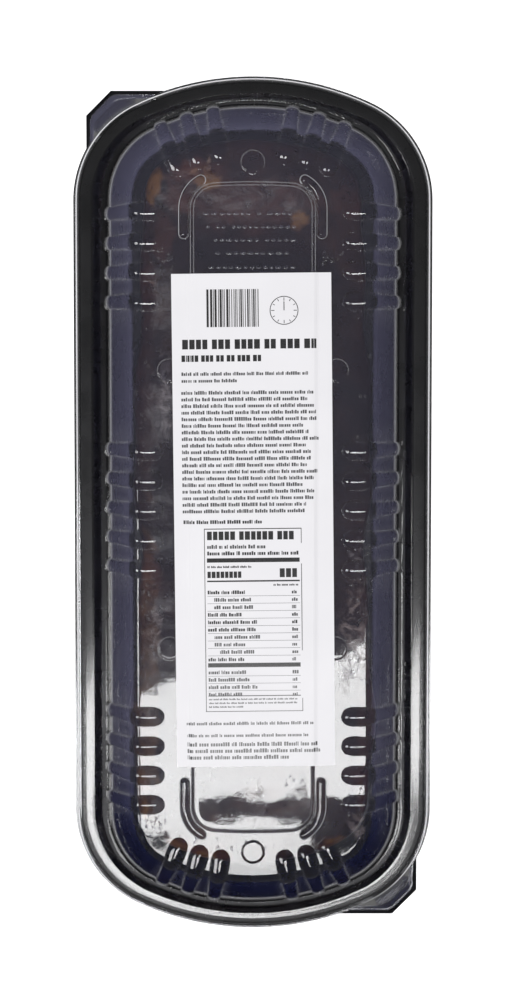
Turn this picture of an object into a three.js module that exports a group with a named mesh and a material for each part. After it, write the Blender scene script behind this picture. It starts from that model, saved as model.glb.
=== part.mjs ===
// A shut take-away pack of ribs: black tray, clear domed lid, paper label and the rack of ribs inside.
// Millimetres, +Z up, +Y along the pack, origin under the middle of the tray.
import * as THREE from 'three';

// Outline of the rim seen from above: straight sides, a corner arc and a wide end arc
const RIM_HALF_WIDTH = 86;
const RIM_HALF_LENGTH = 205.4;
const END_RADIUS = 133.5;
const CORNER_RADIUS = 51.3;

// Heights above the table
const RIM_TOP = 40;
const LEDGE_Z = RIM_TOP - 3;
const FLAT_Z = RIM_TOP + 20;
const PANEL_RISE = 1.5;
const LUG_RISE = 2.5;
const DOT_RISE = 0.5;
const LID_WALL = 0.9;
const GAP = 0.3;

// Section of the dome's wall: distance in from the rim's outline, height, and the way out of the surface
const DOME_SECTION = [
  { inward: 17.7, z: LEDGE_Z, out: 0.78, up: 0 },
  { inward: 28.9, z: FLAT_Z - 2.9, out: 0.87, up: 0.49 },
  { inward: 31, z: FLAT_Z - 0.8, out: 0.51, up: 0.86 },
  { inward: 33.6, z: FLAT_Z, out: 0, up: 1 },
];

// The ends' plug, ledge and wall sit further out than the sides', by these amounts
const TRIM_AT = [8, 13, 18, 33];
const TRIM_BY = [0, 2.8, 2.8, 1.5];

// Raised flutes that run up the wall from a round lobe on the ledge to a round end on the flat
const FLUTE_RISE = 2.2;
const FLUTE_SHARES = [-1, -0.88, -0.5, 0, 0.5, 0.88, 1];
const FLUTE_END = 44;
const FLUTE_END_SLOPE = 1.2;
const FLUTE_HALF_FOOT = 3.3;
const FLUTE_HALF_HEAD = 4.4;
const FLUTE_PITCH = 14;
const MIDDLE_FLUTES = [-2, -1, 0, 1, 2];
const OUTER_FLUTES = [7, 8, 9, 10];
const END_FLUTE_DEGREES = [9.2, 15.5, 21.8];
const PLAIN_END = 35.4;
const CORNER_STEP = 0.17;
const TURNING_SPACING = 11;
const STRAIGHT_SPACING = 35;

// Raised panel on the flat, the four curved lugs round its corners and the six dots
const PANEL_HALF_WIDTH = 29.2;
const PANEL_HALF_LENGTH = 153.5;
const PANEL_CORNER_Y = 141;
const PANEL_CORNER_RADIUS = 12;
const PANEL_STEP = 1.5;
const LUG_CLEARANCE = 0.8;
const LUG_WIDTH = 4.6;
const LUG_FOOT_Y = 127;
const LUG_SWEEP_DEGREES = 62;
const DOT_RADIUS = 5.5;
const DOT_PLACES = [[0, 162.6], [0, -162.6], [39.3, 65.5], [-39.3, 65.5], [39.3, -65.5], [-39.3, -65.5]];
const STEP_SLOPE = 0.8;
const PLAN_BEND = 1e-6;

// Finger tabs at two opposite corners
const TAB_END_Y = 198.6;
const TAB_SIDE_X = 79.6;
const TAB_CHAMFER_SUM = 266.4;
const LID_TAB_INSET = 1.5;

// Label
const LABEL_WIDTH = 75;
const LABEL_LENGTH = 232.6;
const LABEL_THICKNESS = 0.3;
const LABEL_CENTRE = [0.4, -5.2];
const LABEL_TURN = THREE.MathUtils.degToRad(0.6);
const LABEL_EDGE_LIFT = 0.8;
const LABEL_FOLD = 2;
const LABEL_ROWS = 8;

// Rack of ribs
const RACK_HALF_LENGTH = 177;
const RACK_HALF_WIDTH = 57;
const RACK_BASE_Z = 2.9;
const RACK_THICKNESS = 24;
const RACK_END_POWER = 14;
const RACK_END_THINNING = 0.38;
const RACK_TAPER = 0.03;
const RACK_THIN_SIDE = 0.1;
const RACK_MID_HEIGHT = 0.4;
const RACK_SIDE_POWER = 0.6;
const RACK_UNDER_POWER = 0.5;
const RACK_WAVES = [
  { size: 0.03, pitch: 0.043, phase: 0 },
  { size: 0.02, pitch: 0.117, phase: 1 },
];
const BONE_COUNT = 13;
const BONE_RELIEF = 1.6;
const BONE_SLANT = 0.12;
const RACK_STATIONS = 38;
const RACK_SIDES = 16;
const RACK_SWEEP = 1.38;

// Section of the lid's rim and plug: distance in from the outline, height
const LID_RIM_OUTSIDE = [
  [0.4, 35.6], [1, 35.6], [1.7, 39.3], [2.5, 39.9], [6, 40.2], [9.3, 39.9], [10.2, 39.2], [13.6, LEDGE_Z],
];
const LID_RIM_INSIDE = [
  [0.4, 35], [1.75, 35], [2.4, 38.8], [2.9, 39.2], [6, 39.5], [9.1, 39.2], [9.6, 38.8], [13.2, LEDGE_Z - LID_WALL],
];

// Section of the tray from its lip to the floor
const TRAY_INSIDE = [
  [0, 34.6], [2.3, 34.6], [3.6, 38.8], [8.7, 38.8], [12.9, 35.4], [15.8, 35.2],
  [16.8, 34.4], [24.9, 2.8], [26.5, 1], [35.6, 1], [37.6, 2.6],
];
const TRAY_OUTSIDE = [
  [0, 33.8], [3, 33.8], [4.3, 38], [8.2, 38], [12.4, 34.6], [15.3, 34.3],
  [16, 33.7], [24.1, 2], [25.6, 0], [36.2, 0], [38.2, 1.6],
];

const COLOURS = {
  tray: { color: 0x17171a, roughness: 0.35, metalness: 0 },
  lid: { color: 0x8f93a3, roughness: 0.2, metalness: 0, transparent: true, opacity: 0.35 },
  label: { color: 0xf4f4f6, roughness: 0.6, metalness: 0 },
  ribs: { color: 0x6a3320, roughness: 0.45, metalness: 0 },
};

// Rim outline

const END_CENTRE_Y = RIM_HALF_LENGTH - END_RADIUS;
const CORNER_CENTRE_X = RIM_HALF_WIDTH - CORNER_RADIUS;
const CORNER_RISE = Math.sqrt((END_RADIUS - CORNER_RADIUS) ** 2 - CORNER_CENTRE_X ** 2);
const CORNER_CENTRE_Y = END_CENTRE_Y + CORNER_RISE;
const CORNER_TURN = Math.atan2(CORNER_RISE, CORNER_CENTRE_X);
const SIDE_RUN = CORNER_CENTRE_Y;
const CORNER_RUN = CORNER_RADIUS * CORNER_TURN;
const QUARTER_RUN = SIDE_RUN + CORNER_RUN + END_RADIUS * (Math.PI / 2 - CORNER_TURN);

// A place on the first quarter of the outline, with its outward direction
function quarterStation(run) {
  if (run <= SIDE_RUN) return { x: RIM_HALF_WIDTH, y: run, nx: 1, ny: 0 };
  const onCorner = run <= SIDE_RUN + CORNER_RUN;
  const turn = onCorner
    ? (run - SIDE_RUN) / CORNER_RADIUS
    : CORNER_TURN + (run - SIDE_RUN - CORNER_RUN) / END_RADIUS;
  const radius = onCorner ? CORNER_RADIUS : END_RADIUS;
  const centre = onCorner ? [CORNER_CENTRE_X, CORNER_CENTRE_Y] : [0, END_CENTRE_Y];
  const nx = Math.cos(turn);
  const ny = Math.sin(turn);
  return { x: centre[0] + radius * nx, y: centre[1] + radius * ny, nx, ny };
}

// The same anywhere on the outline, counted anticlockwise from the middle of the +X side
function station(run) {
  const quarter = Math.floor(run / QUARTER_RUN);
  const within = run - quarter * QUARTER_RUN;
  const place = quarterStation(quarter % 2 ? QUARTER_RUN - within : within);
  const sx = quarter === 1 || quarter === 2 ? -1 : 1;
  const sy = quarter >= 2 ? -1 : 1;
  return { run, x: place.x * sx, y: place.y * sy, nx: place.nx * sx, ny: place.ny * sy };
}

function interpolate(value, at, by) {
  if (value <= at[0]) return by[0];
  for (let i = 1; i < at.length; i++) {
    if (value <= at[i]) return by[i - 1] + ((value - at[i - 1]) / (at[i] - at[i - 1])) * (by[i] - by[i - 1]);
  }
  return by[by.length - 1];
}

function inwardShift(place, inward) {
  return inward - interpolate(inward, TRIM_AT, TRIM_BY) * place.ny ** 2;
}

// A point at a distance in from the outline, or out over a finger tab where that is negative
function pointAt(place, inward) {
  const shift = inwardShift(place, inward);
  return [place.x - place.nx * shift, place.y - place.ny * shift];
}

// How far a finger tab reaches beyond the outline at a place
function tabReach(place, inset) {
  if (place.x * place.y > 0) return 0;
  const x = Math.abs(place.x);
  const y = Math.abs(place.y);
  const nx = Math.abs(place.nx);
  const ny = Math.abs(place.ny);
  const toEnd = TAB_END_Y - inset - y;
  const toSide = TAB_SIDE_X - inset - x;
  const toChamfer = TAB_CHAMFER_SUM - inset * Math.SQRT2 - x - y;
  if (toEnd < 0 || toSide < 0 || toChamfer < 0) return 0;
  return Math.min(toEnd / Math.max(ny, 1e-6), toSide / Math.max(nx, 1e-6), toChamfer / (nx + ny));
}

// Turning angles that the rim's columns pass through, so that the tabs keep their corners
function rimRuns() {
  const tabAngles = [
    Math.acos((TAB_SIDE_X - CORNER_CENTRE_X) / CORNER_RADIUS),
    Math.atan2(TAB_CHAMFER_SUM - TAB_SIDE_X - CORNER_CENTRE_Y, TAB_SIDE_X - CORNER_CENTRE_X),
    Math.atan2(TAB_END_Y - CORNER_CENTRE_Y, TAB_CHAMFER_SUM - TAB_END_Y - CORNER_CENTRE_X),
    CORNER_TURN,
  ];
  const runs = [0, SIDE_RUN / 2, SIDE_RUN];
  let last = 0;
  for (const angle of tabAngles) {
    const steps = Math.ceil((angle - last) / CORNER_STEP);
    for (let i = 1; i <= steps; i++) runs.push(SIDE_RUN + CORNER_RADIUS * (last + ((angle - last) * i) / steps));
    last = angle;
  }
  const tabEnd = QUARTER_RUN - END_RADIUS * Math.acos((TAB_END_Y - END_CENTRE_Y) / END_RADIUS);
  runs.push(tabEnd, tabEnd + (QUARTER_RUN - tabEnd) / 3, tabEnd + ((QUARTER_RUN - tabEnd) * 2) / 3, QUARTER_RUN);
  const half = [...runs, ...runs.slice(1, -1).reverse().map((run) => 2 * QUARTER_RUN - run)];
  return [...half, ...half.map((run) => run + 2 * QUARTER_RUN)];
}

// Mesh building

// A plan position bent very slightly, so that no three points of a flat area lie in one line
function bent([x, y]) {
  return new THREE.Vector2(x + PLAN_BEND * y * y, y + PLAN_BEND * x * x);
}

class Mesh {
  constructor() {
    this.points = [];
    this.faces = [];
  }

  loop(points) {
    const start = this.points.length;
    this.points.push(...points);
    return points.map((_, i) => start + i);
  }

  face(a, b, c, flip) {
    this.faces.push(...(flip ? [a, c, b] : [a, b, c]));
  }

  // Faces between two closed loops of the same length
  strip(outer, inner, flip) {
    for (let i = 0; i < outer.length; i++) {
      const j = (i + 1) % outer.length;
      this.face(outer[i], outer[j], inner[j], flip);
      this.face(outer[i], inner[j], inner[i], flip);
    }
  }

  // Faces between two closed loops with different spacing, each with its run along the outline
  stitch(outer, outerRuns, inner, innerRuns, flip) {
    const lap = 4 * QUARTER_RUN;
    const runAt = (runs, i) => runs[i % runs.length] + (i >= runs.length ? lap : 0);
    let i = 0;
    let j = 0;
    while (i < outer.length || j < inner.length) {
      const a = outer[i % outer.length];
      const b = inner[j % inner.length];
      const outerNext = i < outer.length && (j >= inner.length || runAt(outerRuns, i + 1) <= runAt(innerRuns, j + 1));
      if (outerNext) {
        this.face(a, outer[(i + 1) % outer.length], b, flip);
        i++;
      } else {
        this.face(a, inner[(j + 1) % inner.length], b, flip);
        j++;
      }
    }
  }

  // A flat area inside one loop and round the others
  fill(outer, holes, flip) {
    const flat = (loop) => loop.map((i) => bent(this.points[i]));
    const all = [outer, ...holes].flat();
    for (const [a, b, c] of THREE.ShapeUtils.triangulateShape(flat(outer), holes.map(flat))) {
      this.face(all[a], all[b], all[c], flip);
    }
  }

  geometry() {
    const geometry = new THREE.BufferGeometry();
    geometry.setAttribute('position', new THREE.Float32BufferAttribute(this.points.flat(), 3));
    geometry.setIndex(this.faces);
    geometry.computeVertexNormals();
    return geometry;
  }
}

// Lid

// The flutes' runs along the outline, in order
function fluteRuns() {
  const sides = [...MIDDLE_FLUTES, ...OUTER_FLUTES, ...OUTER_FLUTES.map((n) => -n)].map((n) => n * FLUTE_PITCH);
  const runs = [];
  for (const y of sides) {
    runs.push(y < 0 ? 4 * QUARTER_RUN + y : y, 2 * QUARTER_RUN + y);
  }
  for (const degrees of END_FLUTE_DEGREES) {
    const along = END_RADIUS * THREE.MathUtils.degToRad(degrees);
    runs.push(QUARTER_RUN - along, QUARTER_RUN + along, 3 * QUARTER_RUN - along, 3 * QUARTER_RUN + along);
  }
  return runs.sort((a, b) => a - b);
}

// Columns of the dome: seven across each half-round flute, and plain ones in the wider gaps
function domeColumns() {
  const columns = [];
  const runs = fluteRuns();
  const lap = 4 * QUARTER_RUN;
  runs.forEach((run, i) => {
    for (const across of FLUTE_SHARES) {
      const rise = Math.sqrt(1 - across ** 2);
      const end = FLUTE_END - FLUTE_HALF_HEAD * (1 - rise);
      columns.push({ ...station((run + lap) % lap), across, rise, end, run: run + across * FLUTE_HALF_FOOT });
    }
    const next = i + 1 < runs.length ? runs[i + 1] : runs[0] + lap;
    const free = next - run;
    const straight = Math.abs(station((run + free / 2) % lap).nx) === 1;
    const spacing = straight ? STRAIGHT_SPACING : TURNING_SPACING;
    const plain = free > 2 * FLUTE_PITCH ? Math.round(free / spacing) : 0;
    for (let k = 1; k < plain; k++) {
      const at = run + (free * k) / plain;
      columns.push({ ...station(at % lap), across: 0, rise: 0, end: PLAIN_END, run: at });
    }
  });
  return columns;
}

function columnPoint(column, inward, z, wall) {
  const [x, y] = pointAt(column, inward);
  const foot = DOME_SECTION[0].inward;
  const edge = DOME_SECTION[DOME_SECTION.length - 1].inward;
  const half = interpolate(inward, [foot, edge], [FLUTE_HALF_FOOT, FLUTE_HALF_HEAD]) - wall / 2;
  return [x - column.ny * column.across * half, y + column.nx * column.across * half, z];
}

// Rings of the dome from the ledge to the flat; the underside lies a wall's thickness in and down
function domeRings(columns, wall) {
  const rings = DOME_SECTION.map(({ inward, z, out, up }) =>
    columns.map((column) => {
      const rise = FLUTE_RISE * column.rise;
      return columnPoint(column, inward - rise * out + (wall / 2) * Math.ceil(out), z + rise * up - wall, wall);
    }),
  );
  const endTop = columns.map((column) => {
    const inward = column.end - FLUTE_END_SLOPE - wall / 2;
    return columnPoint(column, inward, FLAT_Z + FLUTE_RISE * column.rise - wall, wall);
  });
  const endFoot = columns.map((column) => columnPoint(column, column.end - wall / 2, FLAT_Z - wall, wall));
  return [...rings, endTop, endFoot];
}

function mirrored(quarter) {
  const half = [...quarter, ...quarter.slice(0, -1).reverse().map(([x, y]) => [-x, y])];
  return [...half, ...half.slice(1, -1).reverse().map(([x, y]) => [x, -y])];
}

// Outline of the raised panel: straight sides, round corners and slightly arched ends
function panelLoop(inset, z) {
  const radius = PANEL_CORNER_RADIUS - inset;
  const cornerX = PANEL_HALF_WIDTH - PANEL_CORNER_RADIUS;
  const quarter = [[PANEL_HALF_WIDTH - inset, 0]];
  for (let i = 0; i <= 5; i++) {
    const turn = (i / 5) * (Math.PI / 2);
    quarter.push([cornerX + radius * Math.cos(turn), PANEL_CORNER_Y + radius * Math.sin(turn)]);
  }
  const arch = PANEL_HALF_LENGTH - PANEL_CORNER_Y - PANEL_CORNER_RADIUS;
  quarter.push([cornerX / 2, PANEL_CORNER_Y + radius + arch * 0.75]);
  quarter.push([0, PANEL_CORNER_Y + radius + arch]);
  const loop = mirrored(quarter);
  return loop.map(([x, y]) => [x, y, z]);
}

// Outline of one lug: a straight leg beside the panel and a curve round its corner, with round ends
function lugLoop(sx, sy, inset, z) {
  const inner = PANEL_CORNER_RADIUS + LUG_CLEARANCE;
  const middle = inner + LUG_WIDTH / 2;
  const half = LUG_WIDTH / 2 - inset;
  const centreX = PANEL_HALF_WIDTH - PANEL_CORNER_RADIUS;
  const sweep = THREE.MathUtils.degToRad(LUG_SWEEP_DEGREES);
  const spine = [[centreX + middle, LUG_FOOT_Y + LUG_WIDTH / 2, 0]];
  for (let i = 0; i <= 4; i++) {
    const turn = (sweep * i) / 4;
    spine.push([centreX + middle * Math.cos(turn), PANEL_CORNER_Y + middle * Math.sin(turn), turn]);
  }
  const outside = spine.map(([x, y, turn]) => [x + half * Math.cos(turn), y + half * Math.sin(turn)]);
  const inside = spine.map(([x, y, turn]) => [x - half * Math.cos(turn), y - half * Math.sin(turn)]);
  const cap = ([x, y], turn) => [x - half * Math.sin(turn), y + half * Math.cos(turn)];
  const loop = [
    ...outside,
    cap(spine[spine.length - 1], sweep),
    ...inside.reverse(),
    cap(spine[0], Math.PI),
  ];
  const placed = loop.map(([x, y]) => [x * sx, y * sy, z]);
  return sx * sy > 0 ? placed : placed.reverse();
}

function dotLoop([x, y], radius, z) {
  return Array.from({ length: 12 }, (_, i) => {
    const turn = (i / 12) * 2 * Math.PI;
    return [x + radius * Math.cos(turn), y + radius * Math.sin(turn), z];
  });
}

// The raised shapes on the flat: each a foot loop and a smaller top loop
function raisedShapes() {
  const shapes = [];
  for (const [sx, sy] of [[1, 1], [-1, 1], [-1, -1], [1, -1]]) {
    shapes.push([lugLoop(sx, sy, 0, FLAT_Z), lugLoop(sx, sy, STEP_SLOPE, FLAT_Z + LUG_RISE)]);
  }
  for (const place of DOT_PLACES) {
    shapes.push([dotLoop(place, DOT_RADIUS, FLAT_Z), dotLoop(place, DOT_RADIUS - STEP_SLOPE, FLAT_Z + DOT_RISE)]);
  }
  return shapes;
}

function sectionLoops(mesh, places, section, reach) {
  return section.map(([inward, z], i) =>
    mesh.loop(
      places.map((place) => {
        const out = i === 0 ? reach(place) : 0;
        const [x, y] = pointAt(place, inward - out);
        return [x, y, z];
      }),
    ),
  );
}

// One face of the lid, outside or underneath, from the lip to the middle of the panel
function lidFace(mesh, section, wall, shapes, flip) {
  const places = rimRuns().map((run) => station(run % (4 * QUARTER_RUN)));
  const rimLoops = sectionLoops(mesh, places, section, (place) => tabReach(place, LID_TAB_INSET));
  rimLoops.slice(1).forEach((loop, i) => mesh.strip(rimLoops[i], loop, flip));
  const columns = domeColumns();
  const dome = domeRings(columns, wall).map((ring) => mesh.loop(ring));
  const rim = rimLoops[rimLoops.length - 1];
  mesh.stitch(rim, places.map((p) => p.run), dome[0], columns.map((c) => c.run), flip);
  dome.slice(1).forEach((loop, i) => mesh.strip(dome[i], loop, flip));
  const holes = [];
  for (const [foot, top] of shapes) {
    const footLoop = mesh.loop(foot);
    const topLoop = mesh.loop(top);
    mesh.strip(footLoop, topLoop, flip);
    mesh.fill(topLoop, [], flip);
    holes.push(footLoop);
  }
  const panelFoot = mesh.loop(panelLoop(0, FLAT_Z - wall));
  const panelTop = mesh.loop(panelLoop(PANEL_STEP, FLAT_Z + PANEL_RISE - wall));
  mesh.strip(panelFoot, panelTop, flip);
  mesh.fill(panelTop, [], flip);
  mesh.fill(dome[dome.length - 1], [panelFoot, ...holes], flip);
  return rimLoops[0];
}

function lidGeometry() {
  const mesh = new Mesh();
  const outside = lidFace(mesh, LID_RIM_OUTSIDE, 0, raisedShapes(), false);
  const inside = lidFace(mesh, LID_RIM_INSIDE, LID_WALL, [], true);
  mesh.strip(inside, outside, false);
  return mesh.geometry();
}

// Tray

function trayGeometry() {
  const mesh = new Mesh();
  const places = rimRuns().map((run) => station(run % (4 * QUARTER_RUN)));
  const reach = (place) => tabReach(place, 0);
  const inside = sectionLoops(mesh, places, TRAY_INSIDE, reach);
  const outside = sectionLoops(mesh, places, TRAY_OUTSIDE, reach);
  inside.slice(1).forEach((loop, i) => mesh.strip(inside[i], loop, false));
  outside.slice(1).forEach((loop, i) => mesh.strip(outside[i], loop, true));
  mesh.strip(outside[0], inside[0], false);
  mesh.fill(inside[inside.length - 1], [], false);
  mesh.fill(outside[outside.length - 1], [], true);
  return mesh.geometry();
}

// Label

function labelCorner(along, across) {
  const x = (across * LABEL_WIDTH) / 2;
  const y = (along * LABEL_LENGTH) / 2;
  return [
    LABEL_CENTRE[0] + x * Math.cos(LABEL_TURN) - y * Math.sin(LABEL_TURN),
    LABEL_CENTRE[1] + x * Math.sin(LABEL_TURN) + y * Math.cos(LABEL_TURN),
  ];
}

// The paper lies on the panel and hangs a little past its long edges
function labelRow(along) {
  const [leftX, leftY] = labelCorner(along, -1);
  const [rightX, rightY] = labelCorner(along, 1);
  const edge = PANEL_HALF_WIDTH - PANEL_STEP / 2;
  return [leftX, -edge - LABEL_FOLD, -edge, 0, edge, edge + LABEL_FOLD, rightX].map((x) => {
    const y = leftY + ((x - leftX) / (rightX - leftX)) * (rightY - leftY);
    const hang = THREE.MathUtils.clamp((Math.abs(x) - edge) / (LABEL_WIDTH / 2 - edge), 0, 1);
    return [x, y, FLAT_Z + PANEL_RISE + GAP - (PANEL_RISE + GAP - LABEL_EDGE_LIFT) * hang];
  });
}

function labelGeometry() {
  const mesh = new Mesh();
  const rows = Array.from({ length: LABEL_ROWS + 1 }, (_, i) => labelRow((2 * i) / LABEL_ROWS - 1));
  const under = rows.map((row) => mesh.loop(row));
  const over = rows.map((row) => mesh.loop(row.map(([x, y, z]) => [x, y, z + LABEL_THICKNESS])));
  const sheet = (loops, flip) => {
    for (let i = 1; i < loops.length; i++) {
      for (let j = 1; j < loops[i].length; j++) {
        mesh.face(loops[i - 1][j - 1], loops[i - 1][j], loops[i][j], flip);
        mesh.face(loops[i - 1][j - 1], loops[i][j], loops[i][j - 1], flip);
      }
    }
  };
  sheet(over, false);
  sheet(under, true);
  const border = (loops) => {
    const last = loops.length - 1;
    const width = loops[0].length;
    return [
      ...loops[0],
      ...loops.slice(1, last).map((loop) => loop[width - 1]),
      ...[...loops[last]].reverse(),
      ...loops.slice(1, last).map((loop) => loop[0]).reverse(),
    ];
  };
  mesh.strip(border(under), border(over), false);
  return mesh.geometry();
}

// Ribs

// A ring round the rack: a flat underside and a rounded top that swells over each bone
function rackRing(along) {
  const y = along * RACK_HALF_LENGTH;
  const fullness = Math.sqrt(1 - Math.abs(along) ** RACK_END_POWER);
  const uneven = RACK_WAVES.reduce((sum, wave) => sum + wave.size * Math.sin(y * wave.pitch + wave.phase), 1);
  const halfWidth = RACK_HALF_WIDTH * fullness * uneven * (1 - RACK_TAPER * along);
  const points = [];
  for (let i = 0; i < RACK_SIDES; i++) {
    const turn = (i / RACK_SIDES) * 2 * Math.PI;
    const across = Math.sign(Math.cos(turn)) * Math.abs(Math.cos(turn)) ** RACK_SIDE_POWER;
    const x = halfWidth * across;
    const bone = Math.cos(((y + BONE_SLANT * x) / RACK_HALF_LENGTH) * Math.PI * (BONE_COUNT / 2));
    const endThickness = 1 - RACK_END_THINNING * (1 - fullness);
    const thick = RACK_THICKNESS * endThickness * (1 - RACK_THIN_SIDE * across);
    const above = (1 - RACK_MID_HEIGHT) * thick + BONE_RELIEF * bone;
    const upper = Math.max(Math.sin(turn), 0) ** RACK_SIDE_POWER;
    const lower = Math.max(-Math.sin(turn), 0) ** RACK_UNDER_POWER;
    const z = RACK_BASE_Z + RACK_MID_HEIGHT * thick * (1 - lower) + above * upper;
    points.push([x, y, z]);
  }
  return points;
}

function ribsGeometry() {
  const mesh = new Mesh();
  const rings = [];
  for (let i = 0; i <= RACK_STATIONS; i++) {
    const along = Math.sin(((2 * i) / RACK_STATIONS - 1) * RACK_SWEEP);
    rings.push(mesh.loop(rackRing(along)));
  }
  rings.slice(1).forEach((ring, i) => mesh.strip(rings[i], ring, true));
  const cap = (ring, side) => {
    const centre = mesh.points.length;
    const low = mesh.points[ring[0]];
    mesh.points.push([0, low[1] + side * 2, low[2]]);
    ring.forEach((point, i) => mesh.face(centre, point, ring[(i + 1) % ring.length], side > 0));
  };
  cap(rings[0], -1);
  cap(rings[rings.length - 1], 1);
  return mesh.geometry();
}

function part(name, geometry) {
  const mesh = new THREE.Mesh(geometry, new THREE.MeshStandardMaterial(COLOURS[name]));
  mesh.name = name;
  return mesh;
}

const pack = new THREE.Group();
pack.add(part('tray', trayGeometry()));
pack.add(part('lid', lidGeometry()));
pack.add(part('label', labelGeometry()));
pack.add(part('ribs', ribsGeometry()));

export default pack;
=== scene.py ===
"""A shut pack of ribs: black tray, clear hazy lid, paper label and the rack of ribs inside.

Sizes are in millimetres in the part's frame and turn into metres where a mesh is made.
"""

import math
import random
from functools import partial

import bpy
import numpy as np
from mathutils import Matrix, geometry

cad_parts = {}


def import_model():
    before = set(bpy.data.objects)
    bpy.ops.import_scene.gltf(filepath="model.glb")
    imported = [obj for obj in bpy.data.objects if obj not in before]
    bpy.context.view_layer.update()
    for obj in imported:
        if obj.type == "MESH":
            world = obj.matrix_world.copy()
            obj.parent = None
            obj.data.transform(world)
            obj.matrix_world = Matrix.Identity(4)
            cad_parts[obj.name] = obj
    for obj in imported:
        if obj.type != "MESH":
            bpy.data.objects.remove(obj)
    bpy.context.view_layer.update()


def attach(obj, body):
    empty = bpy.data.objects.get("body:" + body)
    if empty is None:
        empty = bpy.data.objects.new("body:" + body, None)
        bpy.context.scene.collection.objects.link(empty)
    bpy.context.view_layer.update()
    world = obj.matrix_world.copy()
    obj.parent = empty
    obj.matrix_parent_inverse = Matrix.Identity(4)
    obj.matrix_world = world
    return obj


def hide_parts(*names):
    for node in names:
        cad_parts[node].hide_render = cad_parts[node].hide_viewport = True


MM = 0.001
TINY = 1e-6
WELD = 1e-7

# Outline of the rim seen from above
RIM_HALF_WIDTH = 86
RIM_HALF_LENGTH = 205.4
END_RADIUS = 133.5
CORNER_RADIUS = 51.3

# Heights above the table
RIM_TOP = 40
LEDGE_Z = RIM_TOP - 3
LEDGE_SAG = 0.25
FLAT_Z = RIM_TOP + 20
PANEL_RISE = 1.5

# The ends' plug, ledge and wall sit further out than the sides', by these amounts
TRIM_AT = [8, 13, 18, 33]
TRIM_BY = [0, 2.8, 2.8, 1.5]

# Sections as distance in from the outline, height and corner radius
LID_LIP = [(3.2, 38.4, 0), (1.9, 35, 0.3), (0.4, 35, 0.2), (0.4, 35.5, 0.2)]
LID_RIM = [
    (1.0, 35.6, 0.4),
    (1.75, 39.98, 1.0),
    (6, 40.06, 5),
    (9.9, 39.97, 0.9),
    (13.9, LEDGE_Z, 1.0),
]
LID_WALL = [(15.8, LEDGE_Z - LEDGE_SAG, 1), (17.7, LEDGE_Z, 0.9), (30.7, FLAT_Z, 6)]
FLAT_EDGE = 34.5
TRAY_INSIDE = [
    (0.2, 34.6, 0.2),
    (2.6, 34.6, 0.8),
    (3.6, 38.7, 0.6),
    (8.8, 38.7, 0.6),
    (12.9, 35.4, 0.8),
    (16.4, 35.2, 1.5),
    (25.2, 1, 4),
    (36, 1, 1.5),
    (37.6, 2.6, 1.0),
    (41, 2.6, 0),
]
TRAY_OUTSIDE = [
    (0.2, 33.8, 0.2),
    (3, 33.8, 0.6),
    (4.2, 38, 0.5),
    (8.2, 38, 0.5),
    (12.4, 34.6, 0.8),
    (15.9, 34.2, 1.2),
    (24.6, 0, 4),
    (36.6, 0, 1.2),
    (38.2, 1.6, 1.0),
    (41, 1.6, 0),
]

# How finely sections and outlines are divided, and the share of a side that a round corner may take
SECTION_STEP = 2.5
LID_WALL_STEP = 1.1
TRAY_STEP = 4.0
CORNER_STEP = 0.16
LARGEST_CORNER = 0.48
TURN_STEP = 2.2
SIDE_STEP = 9

# Painted highlight along the top of the rim's skirt, by height, by distance in and by place along the
# pack
SKIRT_HIGHLIGHT_BY_HEIGHT = ([37.2, 38.2], [0.2, 1])
SKIRT_HIGHLIGHT_BY_INWARD = ([1.0, 2.0, 2.4], [1, 1, 0])
SKIRT_HIGHLIGHT_BY_Y = ([-198, -170], [0.15, 1])

# Raised flutes
FLUTE_START = 17.7
FLUTE_RISE = 2.2
FLUTE_FOOT_RISE = 1.9
FLUTE_END = 44
FLUTE_HALF_FOOT = 3.3
FLUTE_HALF_HEAD = 4.4
FLUTE_PITCH = 14
MIDDLE_FLUTES = [-2, -1, 0, 1, 2]
OUTER_FLUTES = [7, 8, 9, 10]
END_FLUTE_DEGREES = [9.2, 15.5, 21.8]
FLUTE_COLUMNS = [0, 0.2, 0.45, 0.65, 0.8, 0.88, 0.95, 1.0, 1.08]
FLUTE_RINGS = [0.3, 0.6, 0.8, 0.88, 0.93, 0.97, 1.0]
PLAIN_END = 36.5
GUARD = 0.3

# The flutes' feet flatten from this distance in, over this length
FOOT_FADE_FROM = 14.3
FOOT_FADE = 2.5

# Haze by height above the ledge: most on the wall, less on the flat; below 0 on the dull ledge
FLAT_HAZE = 0.27
HAZE_BY_RISE = ([0.02, 0.4, 12, 20, 21.5], [-0.3, 0.85, 0.8, 1, FLAT_HAZE])

# Painted highlights along the wall's foot and along the creases beside the flutes
BASE_HIGHLIGHT = 0.3
BASE_HIGHLIGHT_AT = 17.9
BASE_HIGHLIGHT_WIDTH = 0.6
CREASE_HIGHLIGHT = 0.12
CREASE_HIGHLIGHT_BY_SHARE = ([0.78, 0.88, 1.0, 1.08], [0, 1, 1, 0.2])
CREASE_HIGHLIGHT_BY_RISE = ([0, 2, 16, 21], [0, 1, 1, 0.2])
CREASE_HIGHLIGHT_ON_FLAT = 0.15
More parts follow.
